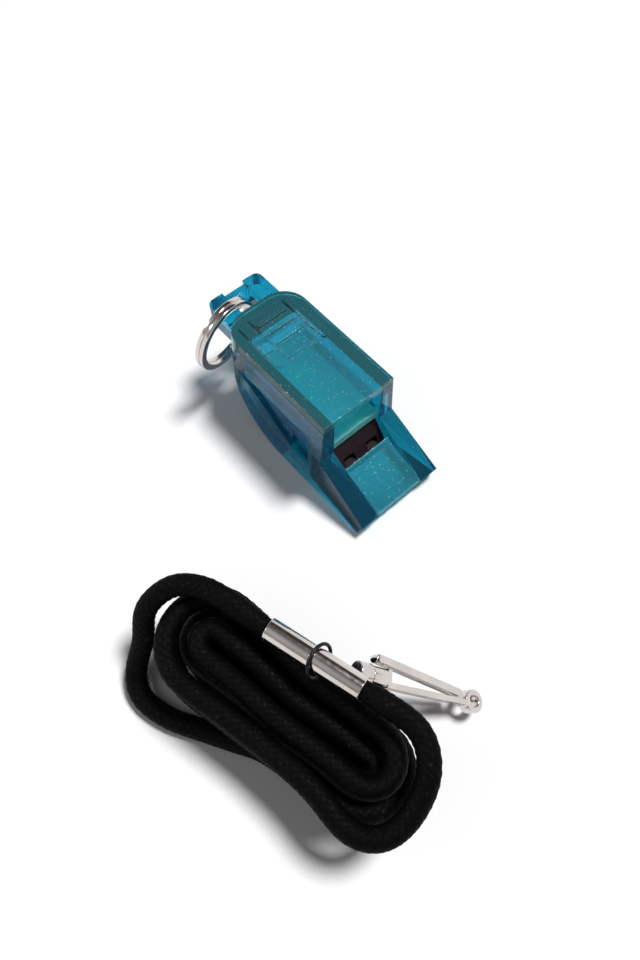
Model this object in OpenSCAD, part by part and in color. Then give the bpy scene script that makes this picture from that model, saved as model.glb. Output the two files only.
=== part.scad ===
// Pealess training whistle with its split ring and its folded neck lanyard.
// Millimetres, +Z up. The mouthpiece points along +X and the flat base lies on z = 0.
// The origin is on the base, below the front edge of the top cover.

/* [Whistle body] */
// Width across the top cover
top_w = 20; // [18:0.5:24]
// Width across the flat base
base_w = 24.6; // [23:0.2:30]
// Height from the base to the top of the cover
body_h = 26; // [24:0.5:32]
// Length of the body behind the front edge of the cover
body_len = 36; // [34:0.5:44]
// Radius of the rounded rear corners
corner_r = 6.5; // [4:0.5:7]
// Radius of the curved heel under the rear of the body
heel_r = 20; // [18:0.5:20.5]
// Wall below and behind the chambers
wall = 2; // [1.4:0.1:2.4]
// Thickness of the top cover
cover_t = 2.2; // [1.4:0.1:3]
// Slack around welded inner pieces
weld_gap = 0.05; // [0.02:0.01:0.1]

/* [Chambers] */
// Width of the upper sound chamber and of the slot
chamber_w = 14; // [10:0.5:15]
// Width of the two lower sound chambers together
lower_w = 17; // [15.5:0.5:18]
// Height of the slot's rear edge above the base
slot_z = 12.3; // [11:0.1:13]
// Thickness of the floor of the upper chamber
floor_t = 2.7; // [1.6:0.1:3.4]
// Thickness of the web between the lower chambers
web_t = 1.5; // [1:0.1:2.5]
// Width of the sound hole in each side
hole_w = 5.4; // [3:0.2:6]
// Height of the sound hole in each side
hole_h = 4.4; // [2.5:0.1:4.8]

/* [Mouthpiece] */
// Length of the mouthpiece in front of the cover
mouth_len = 15.7; // [13:0.1:22]
// Height of the lip at the tip
lip_h = 4; // [3.6:0.1:5]
// Height where the rails meet the front edge of the side walls
shoulder_z = 12.7; // [12.4:0.1:15]
// Thickness of the plate that covers the windway
plate_t = 1.3; // [0.8:0.1:1.6]
// Length of the slot along the mouthpiece
slot_len = 4.1; // [3:0.1:5]
// Depth of the plate below the rails at the slot
plate_drop = 1.4; // [0.6:0.1:2]

/* [Top grip] */
// Height of the raised grip panel and of its ridges
grip_h = 0.6; // [0.3:0.1:1]
// Length of the grip panel
grip_len = 14; // [12:0.5:18]
// Width of the grip panel
grip_w = 8.6; // [6:0.2:9.4]
// Number of ridges across the panel
ridges = 3; // [2:1:4]

/* [Ring lug] */
// Length of the two lug arms behind the body
lug_len = 8.5; // [7.5:0.5:11]
// Width of each lug arm
arm_w = 4.6; // [3:0.1:5]
// Height of the lug arms
arm_h = 6; // [4.4:0.2:6.4]
// Gap between the lug arms
lug_gap = 6; // [5:0.2:7]
// Thickness of the bar that joins the arms
bar_t = 1.9; // [1.2:0.1:2.4]

/* [Split ring] */
// Outside diameter of the split ring
ring_d = 19; // [17:0.5:20]
// Radial thickness of the ring wire
ring_wire = 1.7; // [1.2:0.1:1.9]
// Thickness of one turn of the ring
ring_turn = 1.15; // [0.8:0.05:1.2]

/* [Lanyard] */
// Diameter of the braided cord
cord_d = 4.4; // [3.6:0.1:4.4]
// Diameter of the joining sleeve
sleeve_d = 4.8; // [4.6:0.1:5.4]
// Length of the joining sleeve
sleeve_len = 20.4; // [14:0.2:21]
// Wire of the loose ring on the sleeve
keeper_wire = 0.7; // [0.5:0.1:0.9]
// Length of the hook from its swivel to its tip
hook_len = 29; // [24:0.5:34]
// Depth of the hook's strip
strip_w = 2.4; // [1.6:0.1:3]
// Thickness of the hook's strip
strip_t = 1.1; // [0.8:0.1:1.3]

/* [Hidden] */
$fn = 48;
far = 200;

// The sides lean in from the base to the cover
draft = atan((base_w - top_w) / 2 / body_h);
cover_z = body_h - cover_t;
function half_w(z) = base_w / 2 - (base_w - top_w) / 2 * z / body_h;

// Fore and aft places of the body
heel_x = -13;
rear_z = 17;
jamb_t = 2;
inner_rear = heel_x - (heel_r - wall);
chamber_rear = inner_rear + wall;
floor_top = slot_z + floor_t;
front_wall_x = -4;

// The mouthpiece: its rails, its plate and the windway under the plate
lip_lean = 1.5;
rail_slope = (shoulder_z - lip_h) / mouth_len;
slot_front = slot_len - 0.5;
plate_rear_z = shoulder_z - rail_slope * slot_front - plate_drop;
plate_front = mouth_len - 0.6;
plate_front_z = lip_h + 0.2;
lower_lip = 1.2;
windway_rear_z = 6;
windway_w = 3.2;
windway_h = 1.8;
insert_rise = 5.2;

// Side recess: a long wedge that opens toward the sound hole
recess_rear = [-29.5, rear_z];
recess_top = 17.6;
recess_low = 6.6;
recess_front = -4.2;
side_wall = 0.7;
side_plate_t = 1.2;

// Grip panel and its two side legs
grip_front = -body_len + 17.3;
leg_w = 2;
leg_gap = 1.1;
leg_extra = 0.9;
ridge_w = 1;

// Lug and ring
lug_z = body_h - 4.4;
arm_y = lug_gap / 2 + arm_w / 2;
bar_set = 0.3;
ring_yaw = 12;
ring_tilt = 6;
ring_drop = 3.4;
ring_lean = 40;
ring_x = -body_len - 2.6;
lug_corner = 1.8;
ring_mid = ring_d / 2 - ring_wire / 2;

// Lanyard: place of the hank, and its loops
hank_at = [35, -50.5];
hank_turn = 16.5;
cord_gap = 0.5;
pitch = cord_d + cord_gap;
rings_loop = 24;
cord_sides = 6;
hank_start = 0.5;
hank_end = 6.5;
first_z = cord_d / 2 * cos(30);
waist_half = 2.25 * pitch;
waist_u = 5.4;
left_u = -17.9;
left_v = 2.4;
left_r = 8.9 + pitch;
right_u = 18.5;
right_v = -0.9;
right_r = 6.8 + pitch;
turn_left = pitch + 1.4;
turn_right = pitch + 0.4;
run_share = 1 / 12;
sleeve_v = 8.4;
keeper_lean = 25;
keeper_mid = (sleeve_d / 2 + 0.15) / cos(keeper_lean) + keeper_wire / 2 * (1 + tan(keeper_lean));
sleeve_z = first_z + 3 * pitch + cord_d / 2 + keeper_mid + keeper_wire / 2 + 0.3;
sleeve_mid = 1.4;

// Free stretches of the cord, in the hank's own frame: the low one lies on the table
low_route = [[-17.6, 8.6, 23.4], [-23.8, 8.3, 23], [-29.4, 5.6, 21.6], [-32.6, 0, 17], [-31.7, -4.7, 9.3],
             [-30.9, -9.8, 4.1], [-27.3, -13.4, 2.2], [-20.1, -13.8, 2], [-13.8, -12.3, 2],
             [-4.6, -9.8, 1.95]];
high_route = [[6.8, -9.1, 17.1], [13.2, -10, 17.4], [21.4, -12.2, 16.9], [26.8, -10.3, 17.8],
              [29.3, -4.7, 18.5], [28.5, 2.7, 21.6], [23.8, 7.7, 22.8]];

// Hook: its swivel is on a small lug at the side of the sleeve
hook_yaw = 26;
hook_pitch = 34;
lug_plate = 1.6;
stud_r = 0.9;
stud_fit = 0.05;
base_r = 1.8;
gate_t = 1.5;
lug_reach = 3.4;
lug_drop = 3.5;
base_len = 3.6;
head_r = 1.3;
head_t = 0.6;
head_gap = 0.1;
boss_r = 2;
boss_back = 0.6;
nose_r = 2.3;
gate_open = 0.2;
gate_rest = 0.7;

// Frames and prisms shared by the body's pieces

// Stand a side profile drawn in x and z across the body
module across(w) {
    rotate([90, 0, 0]) linear_extrude(w, center = true) children();
}

// Everything between the two leaning sides, moved in by a distance
module between_sides(inset = 0) {
    shift = inset / cos(draft);
    z0 = -10;
    z1 = body_h + 10;
    rotate([90, 0, 90]) linear_extrude(far, center = true)
        polygon([[-half_w(z0) + shift, z0], [half_w(z0) - shift, z0],
                 [half_w(z1) - shift, z1], [-half_w(z1) + shift, z1]]);
}

// A box from its two corners
module span(a, b) {
    translate(a) cube(b - a);
}

// What lies behind and below the heel's curve
module heel_waste(r) {
    difference() {
        translate([-far, -far]) square([far + heel_x, far + heel_r]);
        translate([heel_x, heel_r]) circle(r, $fn = 96);
    }
}

module outer_profile() {
    difference() {
        polygon([[mouth_len - lip_lean, 0], [mouth_len, lip_h], [0, shoulder_z], [0, body_h],
                 [-body_len, body_h], [-body_len, 0]]);
        heel_waste(heel_r);
    }
    translate([-body_len, rear_z]) square([body_len + heel_x, body_h - rear_z]);
}

// Keep only what lies inside the rounded rear corners
module round_rear() {
    edge = -body_len + corner_r;
    span([edge, -far, -far], [far, far, far]);
    intersection() {
        between_sides(corner_r);
        span([-body_len, -far, -far], [edge + 1, far, far]);
    }
    for (side = [-1, 1])
        translate([edge, side * (half_w(0) - corner_r / cos(draft)), 0])
            rotate([side * draft, 0, 0]) cylinder(h = far, r = corner_r, center = true, $fn = 96);
}

module outer_body() {
    intersection() {
        across(far) outer_profile();
        between_sides();
        round_rear();
    }
}

// Space under the upper chamber, with the heel's curve behind it
module lower_space(w, low, high, front) {
    across(w) difference() {
        translate([inner_rear, low]) square([front - inner_rear, high - low]);
        heel_waste(heel_r - wall);
    }
}

// Body

module lug() {
    rear = -body_len - lug_len;
    out_y = lug_gap / 2 + arm_w;
    low = lug_z - arm_h / 2;
    for (side = [0, 1]) mirror([0, side, 0]) {
        span([rear + lug_corner, lug_gap / 2, low], [-body_len + corner_r / 2, out_y, low + arm_h]);
        span([rear, lug_gap / 2, low], [rear + 2 * lug_corner, out_y - lug_corner, low + arm_h]);
        translate([rear + lug_corner, out_y - lug_corner, low]) cylinder(h = arm_h, r = lug_corner);
    }
    span([rear + bar_set, -lug_gap / 2 - 1, low], [rear + bar_set + bar_t, lug_gap / 2 + 1, low + arm_h - 1]);
}

// Wedge recess in one side, cut to a depth measured square to that side
module side_wedge(inset = 0) {
    polygon([[recess_rear.x + 3 * inset, recess_rear.y - inset / 8],
             [recess_front - inset, recess_top - inset],
             [recess_front - inset, recess_low + inset], [recess_front - inset - 3, recess_low + inset]]);
}

module side_prism(side) {
    translate([0, side * far / 2, 0]) across(far) children();
}

module sound_hole() {
    translate([recess_front - 0.9 - hole_w, slot_z - 0.5 - hole_h]) square([hole_w, hole_h]);
}

// Two ways from the trough through its rear wall into the lower chambers
module side_windways() {
    for (side = [-1, 1])
        span([front_wall_x - 1, side * chamber_w / 4 - windway_w / 2, windway_rear_z + 0.8],
             [slot_front, side * chamber_w / 4 + windway_w / 2, windway_rear_z + 0.8 + windway_h]);
}

module body_shell() color("#2a7f9b") {
    difference() {
        union() {
            outer_body();
            lug();
        }
        // room for the top cover and the upper chamber, open to the front
        span([-body_len, -far, cover_z], [far, far, far]);
        span([chamber_rear, -chamber_w / 2, slot_z], [far, chamber_w / 2, far]);
        // lower chambers, the seat of the chamber floor and the way in through the base
        lower_space(lower_w, wall, floor_top, front_wall_x);
        span([heel_x + 1, -lower_w / 2, -far], [front_wall_x, lower_w / 2, wall + 1]);
        span([front_wall_x - 1, -lower_w / 2, slot_z], [-jamb_t, lower_w / 2, floor_top]);
        // trough of the mouthpiece
        across(chamber_w) polygon([[-jamb_t, windway_rear_z], [mouth_len, lower_lip], [far, lower_lip],
                                   [far, far], [-jamb_t, far]]);
        // two windways from the trough into the lower chambers
        side_windways();
        // wedge recesses and sound holes
        for (side = [-1, 1]) {
            difference() {
                side_prism(side) side_wedge();
                between_sides(half_w(slot_z) - lower_w / 2 - side_wall);
            }
            side_prism(side) sound_hole();
        }
    }
}

module base_plate() color("#24708c") {
    span([heel_x + 1 + weld_gap, -lower_w / 2 + weld_gap, 0],
         [front_wall_x - weld_gap, lower_w / 2 - weld_gap, wall]);
}

module top_cover() color("#3a93a8") {
    leg_y = grip_w / 2 + leg_gap + leg_w / 2;
    intersection() {
        union() {
            span([-body_len, -far, cover_z], [0, far, body_h]);
            // grip panel, ridges and side legs stand above the cover
            span([grip_front - grip_len, -grip_w / 2, body_h - 1], [grip_front, grip_w / 2, body_h + grip_h]);
            for (side = [-1, 1])
                hull() for (x = [grip_front - grip_len + leg_w / 2, grip_front + leg_extra - leg_w / 2])
                    translate([x, side * leg_y, body_h - 1]) cylinder(h = 1 + grip_h, d = leg_w, $fn = 32);
            for (i = [0 : ridges - 1])
                translate([grip_front - grip_len * (i + 1.5) / (ridges + 1.5), 0, body_h + grip_h / 2])
                    cube([ridge_w, grip_w - 0.6, 3 * grip_h], center = true);
        }
        between_sides();
        round_rear();
    }
}

// Pieces inside the body

module chamber_floor() color("#2f8a9c") {
    intersection() {
        union() {
            lower_space(lower_w - 2 * weld_gap, slot_z + weld_gap, floor_top - weld_gap, -jamb_t - weld_gap);
            span([-jamb_t - 1, -chamber_w / 2 + weld_gap, slot_z + weld_gap],
                 [-0.8, chamber_w / 2 - weld_gap, floor_top - weld_gap]);
        }
        across(far) translate([heel_x, heel_r]) union() {
            circle(heel_r - wall - weld_gap, $fn = 96);
            translate([0, -far]) square(2 * far);
        }
    }
}

module centre_web() color("#27788f") {
    lower_space(web_t, wall + weld_gap, slot_z, front_wall_x - weld_gap);
}

module windway_insert() color("#3a1f26") {
    low = windway_rear_z - (windway_rear_z - lower_lip) * (slot_front - 0.3 + jamb_t) / (mouth_len + jamb_t);
    difference() {
        across(chamber_w - 2 * weld_gap)
            polygon([[-jamb_t + weld_gap, windway_rear_z + weld_gap], [slot_front - 0.3, low + weld_gap],
                     [slot_front - 0.3, low + 1.6], [-0.9, windway_rear_z + insert_rise],
                     [-jamb_t + weld_gap, windway_rear_z + insert_rise]]);
        side_windways();
    }
}

module mouth_plate() color("#2c86a2") {
    across(chamber_w - 2 * weld_gap)
        polygon([[slot_front, plate_rear_z], [plate_front, plate_front_z],
                 [plate_front + 0.3, plate_front_z - plate_t],
                 [slot_front, plate_rear_z - plate_t]]);
}

module side_plate(side) {
    inset = half_w(slot_z) - lower_w / 2 - side_wall;
    difference() {
        intersection() {
            side_prism(side) side_wedge(weld_gap);
            between_sides(inset - side_plate_t);
        }
        between_sides(inset);
        side_prism(side) sound_hole();
    }
}

module side_plate_left() color("#1f6f90") side_plate(1);

module side_plate_right() color("#1f6f90") side_plate(-1);

// Split ring: it goes round the lug arm on the -Y side and swings in its own plane
module split_ring() color("silver") {
    translate([ring_x, -arm_y, lug_z]) rotate([0, 0, ring_yaw]) rotate([0, ring_tilt, 0])
        rotate([-ring_lean, 0, 0]) translate([0, 0, -ring_drop]) rotate([0, 90, 0]) rotate_extrude($fn = 96)
            translate([ring_mid, 0]) for (turn = [-1, 1])
                translate([-ring_wire / 2, turn * ring_turn / 2 - ring_turn / 2 - 0.02 * turn])
                    wire_section();
}

// One turn of the ring's wire, a square section with its outer corners cut
module wire_section() {
    c = ring_turn / 4;
    polygon([[0, c], [c, 0], [ring_wire - c, 0], [ring_wire, c], [ring_wire, ring_turn - c],
             [ring_wire - c, ring_turn], [c, ring_turn], [0, ring_turn - c]]);
}

// Lanyard

module at_hank() {
    translate([hank_at.x, hank_at.y, 0]) rotate([0, 0, hank_turn]) children();
}

// How far in the spiral is, in pitches, and which layer it is on, at t loops
function spiral(t) = t < 2 ? t : t < 3.5 ? 4 - t : t < 5 ? t - 3 : 7 - t;
function climb(t, at) = let (f = min(1, max(0, (t - at) / run_share / 2 + 0.5))) f * f * (3 - 2 * f);
function layer(t) = climb(t, 2) + climb(t, 3.5) + climb(t, 5);
function ease(f) = (1 - cos(180 * f)) / 2;

// Sideways place of a run on one side (1 or -1) at u
function run_v(u, side, k) =
    let (waist_v = side * (waist_half - k * pitch),
         end_v = u < waist_u ? left_v + side * (left_r - k * turn_left)
                             : right_v + side * (right_r - k * turn_right),
         f = u < waist_u ? (waist_u - u) / (waist_u - left_u) : (u - waist_u) / (right_u - waist_u))
    waist_v + (end_v - waist_v) * ease(f);

// Centre of the cord at t loops, in the hank's frame
function hank_point(t) =
    let (m = round(2 * t), s = t - m / 2, side = m % 2 == 0 ? 1 : -1, k = spiral(t),
         turn = max(0, abs(s) - run_share) / (0.25 - run_share) * 90,
         f = min(1, max(0, s / run_share / 2 + 0.5)),
         u = side > 0 ? right_u + (left_u - right_u) * f : left_u + (right_u - left_u) * f,
         z = first_z + pitch * layer(t),
         on_left = (s > 0) == (side > 0),
         r = on_left ? left_r - k * turn_left : right_r - k * turn_right)
    turn == 0 ? [u, run_v(u, side, k), z]
    : on_left ? [left_u - r * sin(turn), left_v + side * r * cos(turn), z]
    : [right_u + r * sin(turn), right_v + side * r * cos(turn), z];

// A smooth line through hand-chosen points
function between(a, b, c, d, f) =
    0.5 * (2 * b + (c - a) * f + (2 * a - 5 * b + 4 * c - d) * f * f + (3 * b - a - 3 * c + d) * f * f * f);
function smooth(p, n) = [for (i = [1 : len(p) - 3], j = [0 : n - 1])
    between(p[i - 1], p[i], p[i + 1], p[i + 2], j / n)];

function unit(v) = v / norm(v);
function ring_of(p, i, first, last) =
    let (n = len(p),
         along = unit(i == 0 ? first : i == n - 1 ? last : p[i + 1] - p[i - 1]),
         out = unit(cross(along, [0, 0, 1])), up = cross(out, along))
    [for (j = [0 : cord_sides - 1])
        p[i] + cord_d / 2 * (cos(360 * j / cord_sides) * out + sin(360 * j / cord_sides) * up)];

// One closed tube along a list of points, with its two ends square to the given directions
module tube(p, first, last) {
    n = len(p);
    m = cord_sides;
    rings = [for (i = [0 : n - 1]) each ring_of(p, i, first, last)];
    walls = [for (i = [0 : n - 2], j = [0 : m - 1])
        let (a = i * m + j, b = i * m + (j + 1) % m) each [[a, b, a + m], [b, b + m, a + m]]];
    caps = [for (j = [1 : m - 2]) each [[0, j + 1, j], [(n - 1) * m, (n - 1) * m + j, (n - 1) * m + j + 1]]];
    polyhedron(rings, concat(walls, caps), convexity = 10);
}

hank_steps = round((hank_end - hank_start) * rings_loop);
hank_line = [for (i = [0 : hank_steps]) hank_point(hank_start + (hank_end - hank_start) * i / hank_steps)];
sleeve_rear = [sleeve_mid - sleeve_len / 2, sleeve_v, sleeve_z];
sleeve_fore = [sleeve_mid + sleeve_len / 2, sleeve_v, sleeve_z];
start_dir = hank_line[1] - hank_line[0];
end_dir = hank_line[hank_steps] - hank_line[hank_steps - 1];
step = [cord_d, 0, 0];
low_line = concat([sleeve_rear], smooth(concat([sleeve_rear, sleeve_rear - step], low_route,
    [hank_line[0], hank_line[0] + step]), 2), [hank_line[0]]);
high_line = concat(smooth(concat([hank_line[hank_steps] - step, hank_line[hank_steps]],
    high_route, [sleeve_fore + step, sleeve_fore]), 2), [sleeve_fore + step, sleeve_fore]);

// Least gap of the whole cord to itself, between points more than two diameters apart along it
whole = concat(low_line, hank_line, high_line);
lengths = [for (i = 0, run = 0; i < len(whole);
                run = run + (i + 1 < len(whole) ? norm(whole[i + 1] - whole[i]) : 0),
    i = i + 1) run];
gaps = [for (i = [0 : len(whole) - 1], j = [0 : i]) if (lengths[i] - lengths[j] > 2.5 * cord_d)
    norm(whole[i] - whole[j]) - cord_d];
echo(cord_length = lengths[len(lengths) - 1], least_gap = min(gaps));

module lanyard_hank() color("#141414") at_hank() tube(hank_line, start_dir, end_dir);

module lanyard_lead_low() color("#141414") at_hank() tube(low_line, -step, start_dir);

module lanyard_lead_high() color("#141414") at_hank() tube(high_line, end_dir, -step);

// Frame of the hook: x' runs from the swivel to the tip, y' across the strip
head_room = head_t + 2 * head_gap;
swivel_at = [sleeve_fore.x - 1.2, sleeve_v + lug_reach, sleeve_z - lug_drop];
module at_hook() {
    at_hank() translate(swivel_at) rotate([0, hook_pitch, hook_yaw]) children();
}

module joining_sleeve() color("gainsboro") {
    difference() {
        union() {
            at_hank() translate(sleeve_rear) rotate([0, 90, 0]) cylinder(h = sleeve_len, d = sleeve_d);
            // round boss at the side of the sleeve, which holds the swivel
            at_hook() rotate([0, 90, 0]) translate([0, 0, -lug_plate / 2 - head_room - boss_back])
                cylinder(h = lug_plate + head_room + boss_back, r = boss_r);
        }
        at_hank() translate(sleeve_rear - [1, 0, 0]) rotate([0, 90, 0])
            cylinder(h = sleeve_len + 2, d = sleeve_d - 1.2);
        // bore of the swivel, and the room for the rivet's head inside the boss
        at_hook() rotate([0, 90, 0]) {
            translate([0, 0, -lug_plate / 2 - 0.1]) cylinder(h = 2 * lug_plate, r = stud_r + stud_fit);
            translate([0, 0, -lug_plate / 2 - head_room]) cylinder(h = head_room, r = head_r + head_gap);
        }
    }
}

// Thin loose ring on the sleeve, leaning
module keeper_ring() color("#202020") {
    at_hank() translate([sleeve_mid + 1, sleeve_v, sleeve_z]) rotate([0, -keeper_lean, 0]) rotate([0, 90, 0])
        rotate_extrude() translate([keeper_mid, 0]) circle(d = keeper_wire, $fn = 24);
}

// Rivet that holds the hook to the lug and turns in it
module swivel_stud() color("silver") {
    at_hook() rotate([0, 90, 0]) {
        translate([0, 0, -lug_plate / 2 - head_gap - head_t]) cylinder(h = head_t, r = head_r);
        translate([0, 0, -lug_plate / 2 - head_gap])
            cylinder(h = lug_plate + 2 * head_gap + base_len - 0.6, r = stud_r);
    }
}

module hook_base() color("gainsboro") {
    at_hook() translate([lug_plate / 2 + head_gap, 0, 0]) rotate([0, 90, 0]) difference() {
        cylinder(h = base_len, r = base_r);
        translate([0, 0, -1]) cylinder(h = base_len + 0.4, r = stud_r);
    }
}

// Bent strip drawn in the hook's plane and given its depth
module strip() {
    translate([0, 0, -strip_w / 2]) linear_extrude(strip_w) children();
}

base_x = lug_plate / 2 + head_gap;
nose_x = hook_len - nose_r;
arm_root = -base_r + strip_t / 2;

module hook_shank() color("gainsboro") {
    at_hook() difference() {
        strip() {
            // arm from the base to the nose
            polygon([[base_x + base_len, arm_root - strip_t / 2], [nose_x - nose_r, -strip_t],
                     [nose_x, -nose_r], [nose_x, -nose_r + strip_t], [nose_x - nose_r, 0],
                     [base_x + base_len, base_r]]);
            translate([nose_x, 0]) circle(nose_r);
        }
        strip_cut() {
            polygon([[base_x + base_len + 1, arm_root + strip_t / 2], [nose_x - nose_r - 0.6, 0.01],
                     [nose_x - nose_r - 0.6, far], [base_x + base_len + 1, far]]);
            translate([nose_x, 0]) circle(nose_r - strip_t);
        }
    }
}

module strip_cut() {
    translate([0, 0, -far]) linear_extrude(2 * far) children();
}

// Springy upper arm: it turns at the nose and its free end rests beside the base
gate_root = [nose_x - nose_r - 0.6 - gate_open - gate_t / 2, gate_open + gate_t / 2];
gate_end = [base_x + gate_t, base_r + gate_rest + gate_t / 2];
module hook_gate() color("silver") {
    lean = atan2(gate_end.y - gate_root.y, gate_end.x - gate_root.x);
    at_hook() strip() {
        translate(gate_root) rotate(lean) translate([0, -gate_t / 2])
            square([norm(gate_end - gate_root), gate_t]);
        translate(gate_root) circle(d = gate_t);
        translate(gate_end) circle(d = gate_t);
    }
}

echo(gate_hinge = gate_root, swivel = swivel_at);

body_shell();
base_plate();
top_cover();
chamber_floor();
centre_web();
windway_insert();
mouth_plate();
side_plate_left();
side_plate_right();
split_ring();
lanyard_hank();
lanyard_lead_low();
lanyard_lead_high();
joining_sleeve();
keeper_ring();
swivel_stud();
hook_base();
hook_shank();
hook_gate();
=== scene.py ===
# %% [markdown]
# # A pealess whistle and its lanyard
# This lesson dresses a imported model of a small training whistle in Blender.
# The imported model is the fixed frame: it gives every piece its place in metres,
# so nothing here has to be fitted by eye. We load it first and bake each piece's
# place into its mesh.

# %% Load the frame
import math
import bmesh
import bpy
import numpy as np
from mathutils import Matrix, Vector


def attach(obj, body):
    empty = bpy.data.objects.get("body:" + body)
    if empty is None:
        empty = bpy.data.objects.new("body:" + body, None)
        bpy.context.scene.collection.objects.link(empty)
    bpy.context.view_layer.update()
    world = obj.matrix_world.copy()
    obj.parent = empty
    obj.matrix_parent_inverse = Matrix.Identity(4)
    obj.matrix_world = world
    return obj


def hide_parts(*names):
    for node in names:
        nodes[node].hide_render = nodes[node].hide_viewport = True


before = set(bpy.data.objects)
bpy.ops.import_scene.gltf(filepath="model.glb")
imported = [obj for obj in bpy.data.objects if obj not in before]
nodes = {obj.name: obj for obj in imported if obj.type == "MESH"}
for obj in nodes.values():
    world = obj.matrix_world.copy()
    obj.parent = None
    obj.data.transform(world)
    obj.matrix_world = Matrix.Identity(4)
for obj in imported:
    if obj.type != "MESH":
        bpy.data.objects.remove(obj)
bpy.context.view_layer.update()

MM = 0.001

# %% [markdown]
# ## The camera
# The picture was taken from above and in front, close to the object, with a wide
# lens. The camera is placed first, because the cord is judged through it.

# %% Camera
scene = bpy.context.scene
scene.view_settings.view_transform = "Standard"
camera = bpy.data.objects.new("camera", bpy.data.cameras.new("camera"))
scene.collection.objects.link(camera)
camera.location = Vector((57.2, -60.9, 152.6)) * MM
camera.rotation_euler = (math.radians(27.1), 0, math.radians(49.0))
camera.data.sensor_width = 36
camera.data.lens = 26.58
camera.data.clip_start = 0.005
scene.camera = camera
print("camera at", tuple(round(x, 4) for x in camera.location))

# %% [markdown]
# ## The loops of the hank
# The lanyard is one closed loop of braided cord. Both of its ends go into a metal
# sleeve, and the rest is folded into a flat hank of six loops on four layers. The
# loops could be drawn by hand, but a formula keeps them a fixed pitch apart: the
# cord spirals in and out again, and climbs a layer wherever the spiral turns back.
# All lengths here are millimetres in the hank's own frame, u along it and v across.

# %% Sizes of the hank
CORD_D = 4.4
PITCH = CORD_D + 0.5
FIRST_Z = CORD_D / 2 * math.cos(math.radians(30))
WAIST_U, WAIST_HALF = 5.4, 2.25 * PITCH
LEFT_U, LEFT_V, LEFT_R, LEFT_STEP = -17.9, 2.4, 8.9 + PITCH, PITCH + 1.4
RIGHT_U, RIGHT_V, RIGHT_R, RIGHT_STEP = 18.5, -0.9, 6.8 + PITCH, PITCH + 0.4
HANK_START, HANK_END, STEPS_LOOP = 0.5, 6.5, 24
# Half of a long run, as a share of a loop; each turn takes the rest of a quarter loop.
RUN = 1 / 12
# The loops after which the cord climbs to the next layer.
CLIMBS = (2, 3.5, 5)
print("hank:", HANK_END - HANK_START, "loops of", CORD_D, "mm cord at a pitch of", PITCH, "mm")


# %% Centre of the cord along the hank
def spiral(t):
    """How many steps in from the outermost turn the cord lies after t loops."""
    return t if t < 2 else 4 - t if t < 3.5 else t - 3 if t < 5 else 7 - t


def climb(t, at):
    """Share of one climb that is done after t loops."""
    f = min(1, max(0, (t - at) / RUN / 2 + 0.5))
    return f * f * (3 - 2 * f)


def run_v(u, side, k):
    """Sideways place of a long run of the hank at u."""
    waist = side * (WAIST_HALF - k * PITCH)
    if u < WAIST_U:
        end = LEFT_V + side * (LEFT_R - k * LEFT_STEP)
        f = (WAIST_U - u) / (WAIST_U - LEFT_U)
    else:
        end = RIGHT_V + side * (RIGHT_R - k * RIGHT_STEP)
        f = (u - WAIST_U) / (RIGHT_U - WAIST_U)
    return waist + (end - waist) * (1 - math.cos(math.pi * f)) / 2


def hank_point(t):
    """Centre of the cord after t loops."""
    m = math.floor(2 * t + 0.5)
    s, side, k = t - m / 2, 1 if m % 2 == 0 else -1, spiral(t)
    z = FIRST_Z + PITCH * sum(climb(t, at) for at in CLIMBS)
    turn = max(0, abs(s) - RUN) / (0.25 - RUN) * math.pi / 2
    if turn == 0:
        f = min(1, max(0, s / RUN / 2 + 0.5))
        a, b = (RIGHT_U, LEFT_U) if side > 0 else (LEFT_U, RIGHT_U)
        u = a + (b - a) * f
        return (u, run_v(u, side, k), z)
    if (s > 0) == (side > 0):
        r = LEFT_R - k * LEFT_STEP
        return (LEFT_U - r * math.sin(turn), LEFT_V + side * r * math.cos(turn), z)
    r = RIGHT_R - k * RIGHT_STEP
    return (RIGHT_U + r * math.sin(turn), RIGHT_V + side * r * math.cos(turn), z)


hank_steps = round((HANK_END - HANK_START) * STEPS_LOOP)
hank = [hank_point(HANK_START + (HANK_END - HANK_START) * i / hank_steps) for i in range(hank_steps + 1)]
print("hank:", len(hank), "points, top at", round(hank[-1][2], 2), "mm")

# %% [markdown]
# ## The two free stretches
# From each end of the hank the cord runs free to the sleeve that joins its ends. A
# free stretch follows no rule, so its points are listed one by one. The sleeve lies on
# the hank with room for the thin loose ring below it.

# %% Free stretches and the whole route
SLEEVE_D, SLEEVE_LEN, SLEEVE_V, SLEEVE_MID = 4.8, 20.4, 8.4, 1.4
KEEPER_WIRE, KEEPER_LEAN, KEEPER_PLAY = 0.7, math.radians(25), 0.15
KEEPER_MID = ((SLEEVE_D / 2 + KEEPER_PLAY) / math.cos(KEEPER_LEAN)
              + KEEPER_WIRE / 2 * (1 + math.tan(KEEPER_LEAN)))
KEEPER_CLEAR = 0.3
SLEEVE_Z = FIRST_Z + 3 * PITCH + CORD_D / 2 + KEEPER_MID + KEEPER_WIRE / 2 + KEEPER_CLEAR
LOW_ROUTE = [(-17.6, 8.6, 23.4), (-23.8, 8.3, 23), (-29.4, 5.6, 21.6), (-32.6, 0, 17), (-31.7, -4.7, 9.3),
             (-30.9, -9.8, 4.1), (-27.3, -13.4, 2.2), (-20.1, -13.8, 2), (-13.8, -12.3, 2),
             (-4.6, -9.8, 1.95)]
HIGH_ROUTE = [(6.8, -9.1, 17.1), (13.2, -10, 17.4), (21.4, -12.2, 16.9), (26.8, -10.3, 17.8),
              (29.3, -4.7, 18.5), (28.5, 2.7, 21.6), (23.8, 7.7, 22.8)]


def sleeve_axis(u):
    """A point on the sleeve's axis, u from its middle."""
    return (SLEEVE_MID + u, SLEEVE_V, SLEEVE_Z)


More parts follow.
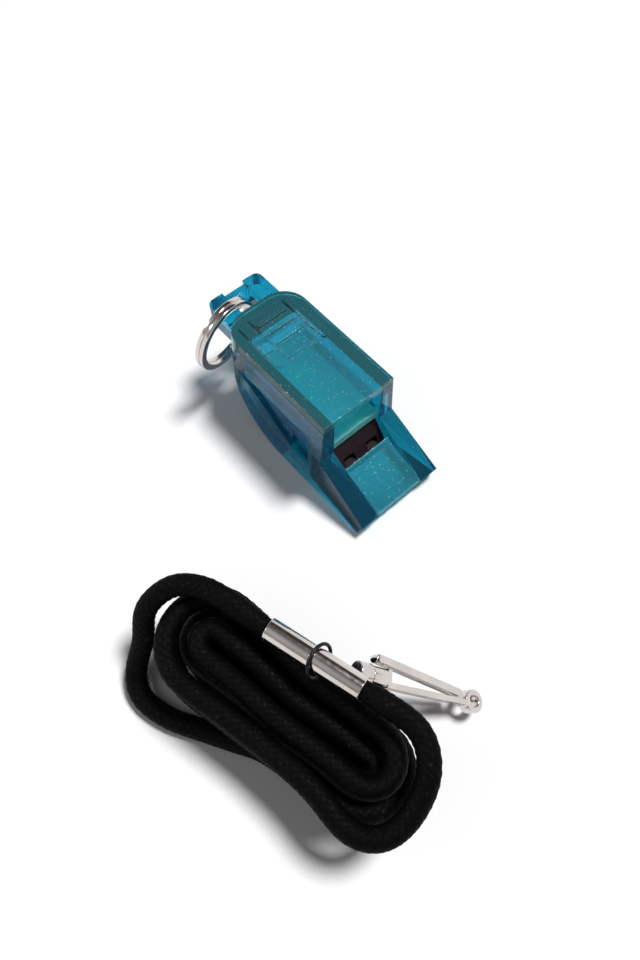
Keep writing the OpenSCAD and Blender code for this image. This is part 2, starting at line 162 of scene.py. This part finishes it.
rear, fore = -SLEEVE_LEN / 2, SLEEVE_LEN / 2
route = ([sleeve_axis(rear), sleeve_axis(rear - CORD_D)] + LOW_ROUTE + hank + HIGH_ROUTE
         + [sleeve_axis(fore + CORD_D), sleeve_axis(fore)])
print("route:", len(route), "points, sleeve at", round(SLEEVE_Z, 2), "mm")

# %% [markdown]
# ## One smooth line
# A soft cord has no corners. The points are joined by a curve that passes through
# each of them, the curve is cut into short equal steps, and each step is averaged
# with its neighbours a few times, which is what the stiffness of a real cord does.
# Nothing may sink below the table.

# %% Smooth line of the cord
HANK_AT, HANK_TURN = (35.0, -50.5), math.radians(16.5)
LINE_STEP, STEPS_BETWEEN, SMOOTHINGS = 0.36 * MM, 6, 30


def through(points, n):
    """A smooth line through points, with n steps from each to the next."""
    p = np.array(points, float)
    p = np.vstack([2 * p[0] - p[1], p, 2 * p[-1] - p[-2]])
    out = []
    for a, b, c, d in zip(p[:-3], p[1:-2], p[2:-1], p[3:]):
        for f in np.arange(n) / n:
            out.append(0.5 * (2 * b + (c - a) * f + (2 * a - 5 * b + 4 * c - d) * f ** 2
                              + (3 * b - a - 3 * c + d) * f ** 3))
    return np.array(out + [p[-2]])


def spaced(line, step):
    """The same line with points a fixed step apart, and how far along each one lies."""
    run = np.concatenate([[0], np.cumsum(np.linalg.norm(np.diff(line, axis=0), axis=1))])
    at = np.linspace(0, run[-1], max(2, round(run[-1] / step)))
    return np.array([np.interp(at, run, line[:, i]) for i in range(3)]).T, at


hank_frame = Matrix.Translation((*HANK_AT, 0)) @ Matrix.Rotation(HANK_TURN, 4, "Z")
route_m = [(hank_frame @ Vector(p)) * MM for p in route]
line, along = spaced(through(route_m, STEPS_BETWEEN), LINE_STEP)
for _ in range(SMOOTHINGS):
    line[1:-1] = (line[:-2] + 2 * line[1:-1] + line[2:]) / 4
line[:, 2] = np.maximum(line[:, 2], CORD_D / 2 * MM)
line, along = spaced(line, LINE_STEP)
print("cord length", round(along[-1], 4), "m,", len(line), "rings")

# %% [markdown]
# ## The braided cord
# A round braid is two sets of strands that wind opposite ways and pass over and
# under each other. A curve with a round bevel makes the tube first. Strands could be
# left to a bump in the finish, but then the outline of the cord would stay smooth.

# %% Plain tube along the line
SIDES = 32
curve = bpy.data.curves.new("cord_line", "CURVE")
curve.dimensions = "3D"
curve.bevel_depth = CORD_D / 2 * MM
curve.bevel_resolution = (SIDES - 4) // 2
curve.twist_mode = "MINIMUM"
spline = curve.splines.new("POLY")
spline.points.add(len(line) - 1)
spline.points.foreach_set("co", np.hstack([line, np.ones((len(line), 1))]).ravel())
bare = bpy.data.objects.new("cord_line", curve)
scene.collection.objects.link(bare)
bpy.context.view_layer.update()
tube = bpy.data.meshes.new_from_object(bare.evaluated_get(bpy.context.evaluated_depsgraph_get()))
bpy.data.objects.remove(bare)
print("tube:", len(tube.vertices), "points in", len(line), "rings of", SIDES)

# %% [markdown]
# ## The strands
# The tube's own rings are pushed in and out where the strands cross, so that the
# braid is real relief. The height of each strand is kept on the mesh as well, for
# the finish. The cord thins where the sleeve grips it.

# %% Strands of the braid
STRANDS = 8
RELIEF, MEAN_HEIGHT, FLAT_TOP = 0.07, 0.55, 0.35
GRIP_LEN, GRIPPED = 4 * MM, 0.8
co = np.zeros(len(tube.vertices) * 3)
tube.vertices.foreach_get("co", co)
co = co.reshape(-1, 3)
ring_no, side_no = np.divmod(np.arange(len(co)), SIDES)
around = STRANDS * side_no / SIDES
wound = along[ring_no] / (math.pi * CORD_D * MM / STRANDS)
left, right = around + wound, around - wound
over = (np.floor(left) + np.floor(right)) % 2 == 0
ridge_left, ridge_right = np.sin(math.pi * (left % 1)), np.sin(math.pi * (right % 1))
strand = np.where(over, ridge_left * ridge_right ** FLAT_TOP, ridge_right * ridge_left ** FLAT_TOP)
from_end = np.minimum(along, along[-1] - along)[ring_no]
grip = GRIPPED + (1 - GRIPPED) * np.clip(from_end / GRIP_LEN, 0, 1)
size = grip * (1 + RELIEF * (strand - MEAN_HEIGHT))
co = line[ring_no] + (co - line[ring_no]) * size[:, None]
tube.vertices.foreach_set("co", co.ravel())
tube.attributes.new("strand", "FLOAT", "POINT").data.foreach_set("value", strand.astype(np.float32))
tube.shade_smooth()
print("braid:", STRANDS, "strands,", len(tube.polygons), "faces")

# %% The cord as a piece
cord = bpy.data.objects.new("lanyard_cord", tube)
scene.collection.objects.link(cord)
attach(cord, "lanyard")
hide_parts("lanyard_hank", "lanyard_lead_low", "lanyard_lead_high")

# %% [markdown]
# ## The split ring
# A split ring is two flat turns of sprung wire that lie on each other, joined by a
# short slope where the wire crosses from one turn to the next. A torus would lose
# that slope. Instead one wire section is spun three times: a flat turn, the
# crossing, which also moves along the ring's axis, and the second flat turn.

# %% Place of the ring
RING_AT, RING_DROP = (-38.6, -5.3, 21.6), 3.4
RING_YAW, RING_TILT, RING_LEAN, RING_START = (math.radians(a) for a in (12, 6, -40, 115))
LIE_FLAT = math.radians(90)
ring_place = (Matrix.Translation(RING_AT) @ Matrix.Rotation(RING_YAW, 4, "Z")
              @ Matrix.Rotation(RING_TILT, 4, "Y") @ Matrix.Rotation(RING_LEAN, 4, "X")
              @ Matrix.Translation((0, 0, -RING_DROP)) @ Matrix.Rotation(LIE_FLAT, 4, "Y")
              @ Matrix.Rotation(RING_START, 4, "Z"))
print("ring centre", tuple(round(x, 2) for x in ring_place.translation), "mm")

# %% Split ring
RING_D, RING_WIRE, RING_TURN, TURN_GAP, WIRE_ROUND = 19.0, 1.7, 1.15, 0.02, 0.22
FLAT_TURN, CROSSING, SPIN_STEP = (math.radians(a) for a in (300, 60, 10 / 3))
SHARP = 0.8
half_w, half_t = RING_WIRE / 2, RING_TURN / 2 - TURN_GAP
bm = bmesh.new()
corners = [bm.verts.new((RING_D / 2 - half_w + x * half_w, 0, z * half_t - RING_TURN / 2))
           for x, z in ((-1, -1), (1, -1), (1, 1), (-1, 1))]
tip = [bm.faces.new(corners)]
for turn, rise in ((FLAT_TURN, 0), (CROSSING, RING_TURN), (FLAT_TURN, 0)):
    steps = round(turn / SPIN_STEP)
    spun = bmesh.ops.spin(bm, geom=tip, cent=(0, 0, 0), axis=(0, 0, 1), dvec=(0, 0, rise / steps),
                          angle=turn, steps=steps)
    tip = [g for g in spun["geom_last"] if isinstance(g, bmesh.types.BMFace)]
bmesh.ops.recalc_face_normals(bm, faces=bm.faces[:])
sharp = [e for e in bm.edges if len(e.link_faces) == 2 and e.calc_face_angle(0) > SHARP]
bmesh.ops.bevel(bm, geom=sharp, offset=WIRE_ROUND, offset_type="OFFSET", affect="EDGES", segments=3,
                profile=0.5, material=-1)
bmesh.ops.transform(bm, matrix=Matrix.Scale(MM, 4) @ ring_place, verts=bm.verts[:])
ring_mesh = bpy.data.meshes.new("sprung_ring")
bm.to_mesh(ring_mesh)
bm.free()
ring_mesh.shade_smooth()
sprung_ring = bpy.data.objects.new("sprung_ring", ring_mesh)
scene.collection.objects.link(sprung_ring)
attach(sprung_ring, "ring")
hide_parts("split_ring")
print("sprung ring:", len(ring_mesh.polygons), "faces")

# %% [markdown]
# ## Shader maths in Python
# A material is a small network of nodes. To keep it readable, one class wraps a
# socket so that `1 - mask` or `noise * 0.2` adds the Math nodes, and one method
# makes any other node from its type, its settings and its inputs.


# %% Sums on sockets
class Link:
    """An output of a node. Sums on it add Math nodes to its network."""

    def __init__(self, network, socket):
        self.network, self.socket = network, socket

    def maths(self, operation, first, second):
        return self.network.node("Math", {"operation": operation}, {0: first, 1: second})

    def __add__(self, other):
        return self.maths("ADD", self, other)

    def __sub__(self, other):
        return self.maths("SUBTRACT", self, other)

    def __rsub__(self, other):
        return self.maths("SUBTRACT", other, self)

    def __mul__(self, other):
        return self.maths("MULTIPLY", self, other)

    def __lt__(self, other):
        return self.maths("LESS_THAN", self, other)

    def __gt__(self, other):
        return self.maths("GREATER_THAN", self, other)

    __radd__, __rmul__ = __add__, __mul__


# %% Networks of nodes
class Network:
    """A tree of shader nodes."""

    def __init__(self, tree):
        self.tree = tree

    def node(self, kind, settings, sockets, output=0):
        made = self.tree.nodes.new("ShaderNode" + kind)
        for key, value in settings.items():
            if key == "stops":
                ramp = made.color_ramp.elements
                while len(ramp) < len(value):
                    ramp.new(0.5)
                for stop, (place, colour) in zip(ramp, value):
                    stop.position, stop.color = place, colour
            else:
                setattr(made, key, value)
        for key, value in sockets.items():
            self.feed(made.inputs[key], value)
        return Link(self, made.outputs[output])

    def feed(self, socket, value):
        if isinstance(value, Link):
            self.tree.links.new(value.socket, socket)
        else:
            socket.default_value = value

    def place(self):
        return self.node("TexCoord", {}, {}, "Object")

    def noise(self, size, detail=2.0):
        """A noise whose clouds are about size millimetres across."""
        return self.node("TexNoise", {}, {"Vector": self.place(), "Scale": 1 / (size * MM), "Detail": detail})

    def ramp(self, value, *stops):
        return self.node("ValToRGB", {"stops": stops}, {"Fac": value})

    def mixed(self, factor, first, second):
        return self.node("Mix", {"data_type": "RGBA"}, {0: factor, 6: first, 7: second}, 2)

    def bump(self, height, depth):
        return self.node("Bump", {}, {"Height": height, "Distance": depth * MM})

    def shown(self):
        """One for what is seen straight, mirrored or through the plastic, nought for light."""
        straight, mirrored, through = (self.node("LightPath", {}, {}, "Is %s Ray" % ray)
                                       for ray in ("Camera", "Glossy", "Transmission"))
        return straight + mirrored + through


# %% Finishes and how a piece gets one
class Finish(Network):
    """A material with one Principled shader, its fixed values set on its own sockets."""

    def __init__(self, name, **fixed):
        self.material = bpy.data.materials.new(name)
        self.material.use_nodes = True
        super().__init__(self.material.node_tree)
        self.shader = self.tree.nodes["Principled BSDF"]
        self.give(**fixed)

    def give(self, **sockets):
        for key, value in sockets.items():
            self.feed(self.shader.inputs[key.replace("_", " ")], value)
        return self.material


def linear(r, g, b):
    """A colour as a linear RGBA tuple, from 0 to 255 values."""
    return (*[((c / 255 + 0.055) / 1.055) ** 2.4 if c > 10 else c / 3295 for c in (r, g, b)], 1)


def dress(material, *names):
    """Give pieces one material in place of any they have."""
    for name in names:
        slots = bpy.data.objects[name].data.materials
        slots.clear()
        slots.append(material)
    print(material.name, "on", ", ".join(names))


# %% [markdown]
# ## Clear teal plastic
# The whistle is moulded in clear teal plastic with fine glitter in it. Light goes
# through the walls, so the shader lets most of it pass and tints what it passes.
# Glass with a coloured surface would do for thin walls, but the plastic also absorbs
# along the light's way through it, which is why long and doubled places look darker.
# A slow noise clouds the tint, and small round cells are the flakes of glitter. The
# cover is the clearest mix and has a lighter tint, which is painted light on the top;
# the chamber's floor is milky; the side plates have a darker tint, which is painted
# shade on the sides.

# %% Teal plastic
GLITTER, GLITTER_PITCH, GLITTER_DULL = linear(206, 232, 238), 1.1, 0.2
DEPTH_TINT = (0.05, 0.85, 0.8, 1)
CLOUD, SMEAR, SMEAR_DULL, RIPPLE, RIPPLE_DEPTH = 9, 3, 0.1, 2.2, 0.02


def plastic(name, thin, thick, flake, haze, clear, depth):
    """Clear plastic: two tints, size of the flakes, dullness, clarity and absorption per metre."""
    f = Finish(name, Transmission_Weight=clear, IOR=1.33, Specular_IOR_Level=0.4)
    cells = f.node("TexVoronoi", {}, {"Vector": f.place(), "Scale": 1 / (GLITTER_PITCH * MM)}, "Distance")
    speck = cells < flake
    tint = f.mixed(f.noise(CLOUD), linear(*thin), linear(*thick))
    inside = f.node("VolumeAbsorption", {}, {"Color": DEPTH_TINT, "Density": depth})
    f.feed(f.tree.nodes["Material Output"].inputs["Volume"], inside)
    return f.give(Base_Color=f.mixed(speck, tint, GLITTER),
                  Roughness=haze + SMEAR_DULL * f.noise(SMEAR) + GLITTER_DULL * speck,
                  Normal=f.bump(f.noise(RIPPLE), RIPPLE_DEPTH))


dress(plastic("clear_teal", (72, 188, 230), (46, 164, 220),
              flake=0.09, haze=0.05, clear=0.88, depth=340), "body_shell", "base_plate")
# painted light: the cover gets a lighter tint than the body, for the lit top
dress(plastic("clear_lit_teal_cover", (112, 226, 240), (92, 212, 234),
              flake=0.1, haze=0.04, clear=0.85, depth=160), "top_cover", "mouth_plate")
dress(plastic("milky_teal", (150, 238, 230), (128, 226, 224),
              flake=0.09, haze=0.08, clear=0.4, depth=320), "chamber_floor", "centre_web")
# painted shade: the side plates get a darker tint than the body, for the shaded sides
dress(plastic("shaded_teal", (40, 160, 204), (30, 140, 192),
              flake=0.08, haze=0.06, clear=0.8, depth=380), "side_plate_left", "side_plate_right")

# %% [markdown]
# ## The dark insert
# The windway is cut in a separate insert of dark maroon plastic that shows through
# the slot in the top. It is moulded, so a fine grain in the normal is enough, and a
# slow noise keeps its colour from being one flat value.

# %% Dark insert
insert = Finish("maroon_insert", Specular_IOR_Level=0.15)
dress(insert.give(Base_Color=insert.mixed(insert.noise(3), linear(46, 24, 30), linear(28, 19, 24)),
                  Roughness=0.45 + 0.2 * insert.noise(1), Normal=insert.bump(insert.noise(0.6), 0.02)),
      "windway_insert")

# %% [markdown]
# ## Nickel and black wire
# The ring, the sleeve and the hook are nickel-plated steel. Plating is a mirror
# whose gloss varies where it was handled, so one noise moves the roughness and
# another the colour a little. The loose ring on the sleeve is blackened wire.

# %% Nickel and black wire
steel = Finish("nickel_plate", Metallic=1.0)
rubbed = steel.noise(0.8, 4)
dress(steel.give(Base_Color=steel.mixed(steel.noise(4), linear(226, 220, 216), linear(196, 188, 184)),
                 Roughness=0.08 + 0.12 * steel.noise(1.2), Normal=steel.bump(rubbed, 0.004)),
      "sprung_ring", "split_ring", "joining_sleeve", "swivel_stud", "hook_base", "hook_shank", "hook_gate")
wire = Finish("black_wire", Metallic=0.6)
dress(wire.give(Base_Color=wire.mixed(wire.noise(2), linear(26, 26, 26), linear(12, 12, 12)),
                Roughness=0.3 + 0.2 * wire.noise(1)), "keeper_ring")

# %% [markdown]
# ## The black braid
# The cord is soft black polyester. The height of each strand is kept on the mesh as
# an attribute, so its crown can be painted a little lighter than the gaps, which is
# painted sheen on the crowns and painted shade in the gaps, and made a little glossier,
# without any picture, and the pattern follows the cord round every bend. A few crowns
# get a much lighter colour as painted glints.

# %% Black braid
PAINTED_GLINT_SHARE = 0.68
braid = Finish("black_braid", Specular_IOR_Level=0.06)
lift = braid.node("Attribute", {"attribute_name": "strand"}, {}, "Fac")
fibre = braid.noise(0.35, 3)
# painted glints: a much lighter colour on a few strand crowns where a noise is high
painted_glint = lift * (braid.noise(0.9) > PAINTED_GLINT_SHARE)
# painted sheen on the strand crowns and painted shade in the gaps between strands
black_with_painted_sheen = braid.mixed(lift * fibre, linear(0, 0, 0), linear(5, 5, 6))
dress(braid.give(Base_Color=braid.mixed(painted_glint, black_with_painted_sheen, linear(34, 34, 36)),
                 Roughness=0.82 - 0.3 * lift, Normal=braid.bump(fibre, 0.03)), "lanyard_cord")

# %% [markdown]
# ## Rounded edges
# Moulded plastic and pressed strip have small radii on every edge, and it is those
# that catch the light. The solids come as loose triangles, so live modifiers join
# them and then bevel only the edges that turn by more than 30 degrees. At a narrow
# tip the bevel's own corner would fold over, so the two solids that have one get a
# rounded corner instead. The faces are shaded smooth last, with normals that follow
# the large flat faces.

# %% A group that shades faces smooth
smooth_group = bpy.data.node_groups.new("smooth_faces", "GeometryNodeTree")
for side in ("INPUT", "OUTPUT"):
    smooth_group.interface.new_socket("Mesh", in_out=side, socket_type="NodeSocketGeometry")
ends = [smooth_group.nodes.new(kind)
        for kind in ("NodeGroupInput", "GeometryNodeSetShadeSmooth", "NodeGroupOutput")]
for before, after in zip(ends, ends[1:]):
    smooth_group.links.new(before.outputs[0], after.inputs[0])
print("group:", " > ".join(node.bl_label for node in ends))

# %% Rounded edges
SAME_POINT, EDGE_ANGLE, EDGE_STEPS, FLAT_FIRST = 0.01 * MM, math.radians(30), 3, 100
EDGE_WIDTHS = {"body_shell": 0.15, "top_cover": 0.14, "mouth_plate": 0.15, "chamber_floor": 0.15,
               "windway_insert": 0.1, "side_plate_left": 0.12, "side_plate_right": 0.12,
               "joining_sleeve": 0.15, "hook_base": 0.15, "hook_shank": 0.14, "hook_gate": 0.2}
NARROW_TIPS = ("body_shell", "joining_sleeve")


def soften(name, width):
    """Round a solid's edges with live modifiers; its own mesh stays as it is."""
    node = nodes[name]
    node.modifiers.new("weld", "WELD").merge_threshold = SAME_POINT
    edges = node.modifiers.new("edges", "BEVEL")
    edges.width, edges.segments, edges.angle_limit = width * MM, EDGE_STEPS, EDGE_ANGLE
    edges.limit_method, edges.use_clamp_overlap, edges.loop_slide = "ANGLE", False, False
    edges.miter_outer = "MITER_ARC" if name in NARROW_TIPS else "MITER_SHARP"
    node.modifiers.new("smooth", "NODES").node_group = smooth_group
    node.modifiers.new("normals", "WEIGHTED_NORMAL").weight = FLAT_FIRST
    made = node.evaluated_get(bpy.context.evaluated_depsgraph_get()).to_mesh()
    print(name, len(node.data.polygons), "->", len(made.polygons), "faces")


for name, width in EDGE_WIDTHS.items():
    soften(name, width)

# %% [markdown]
# ## The floor
# The object lies on plain white paper. The paper is a little darker to the light that
# bounces off it than to the eye, so that the picture is white while the object is not
# lit too strongly from below.

# %% Floor
WHITE, PAPER = (1, 1, 1, 1), (0.9, 0.9, 0.9, 1)
bm = bmesh.new()
bmesh.ops.create_grid(bm, x_segments=1, y_segments=1, size=3)
floor_mesh = bpy.data.meshes.new("floor")
bm.to_mesh(floor_mesh)
bm.free()
floor = bpy.data.objects.new("floor", floor_mesh)
scene.collection.objects.link(floor)
paper = Finish("white_floor", Roughness=0.9, Specular_IOR_Level=0.0)
floor_mesh.materials.append(paper.give(Base_Color=paper.mixed(paper.shown(), PAPER, WHITE)))
print("floor:", floor.dimensions[0], "m")

# %% [markdown]
# ## The room
# Plated metal only looks like metal when it has something dark to reflect, so the
# room is dim and warm below and bright only round one soft patch overhead. Near the
# horizon stands a white sweep, as in a studio, which is seen but gives no light.

# %% Room
PATCH_TOWARD = (-0.15, -0.55, 0.82)
SWEEP_FULL, SWEEP_END = 0.38, 0.5
world = bpy.data.worlds.new("studio")
scene.world = world
world.use_nodes = True
sky = Network(world.node_tree)
way = sky.node("TexCoord", {}, {}, "Generated")
facing = sky.node("VectorMath", {"operation": "DOT_PRODUCT"}, {0: way, 1: PATCH_TOWARD}, "Value")
room = sky.ramp(facing, (0.0, (0.03, 0.02, 0.018, 1)), (0.45, (0.06, 0.045, 0.04, 1)),
                (0.8, (0.1, 0.1, 0.104, 1)), (1.0, (0.5, 0.5, 0.5, 1)))
height = sky.node("SeparateXYZ", {}, {0: way}, "Z")
sweep = sky.ramp(height, (SWEEP_FULL, WHITE), (SWEEP_END, (0, 0, 0, 1)))
sky.feed(world.node_tree.nodes["Background"].inputs["Color"], sky.mixed(sweep * sky.shown(), room, WHITE))
print("room:", len(world.node_tree.nodes), "nodes")

# %% [markdown]
# ## The lamps
# One broad lamp, high on the far right, makes the soft shadow on the near left of the
# object. A weaker one from the left is hidden from matt surfaces, so that it only
# draws a line of light along rounded edges.


# %% Lamps
def sun(name, energy, spread, toward):
    """A far lamp: its strength, how many degrees of sky it fills and the way to it."""
    lamp = bpy.data.objects.new(name, bpy.data.lights.new(name, "SUN"))
    scene.collection.objects.link(lamp)
    lamp.data.energy, lamp.data.angle = energy, math.radians(spread)
    lamp.rotation_euler = Vector(toward).to_track_quat("Z", "Y").to_euler()
    print(name, "lamp", energy, "toward", toward)
    return lamp


sun("key", 3.05, 14, (0.1, 0.43, 1.0))
sun("edge", 1.5, 10, (-0.47, -0.55, 0.7)).visible_diffuse = False
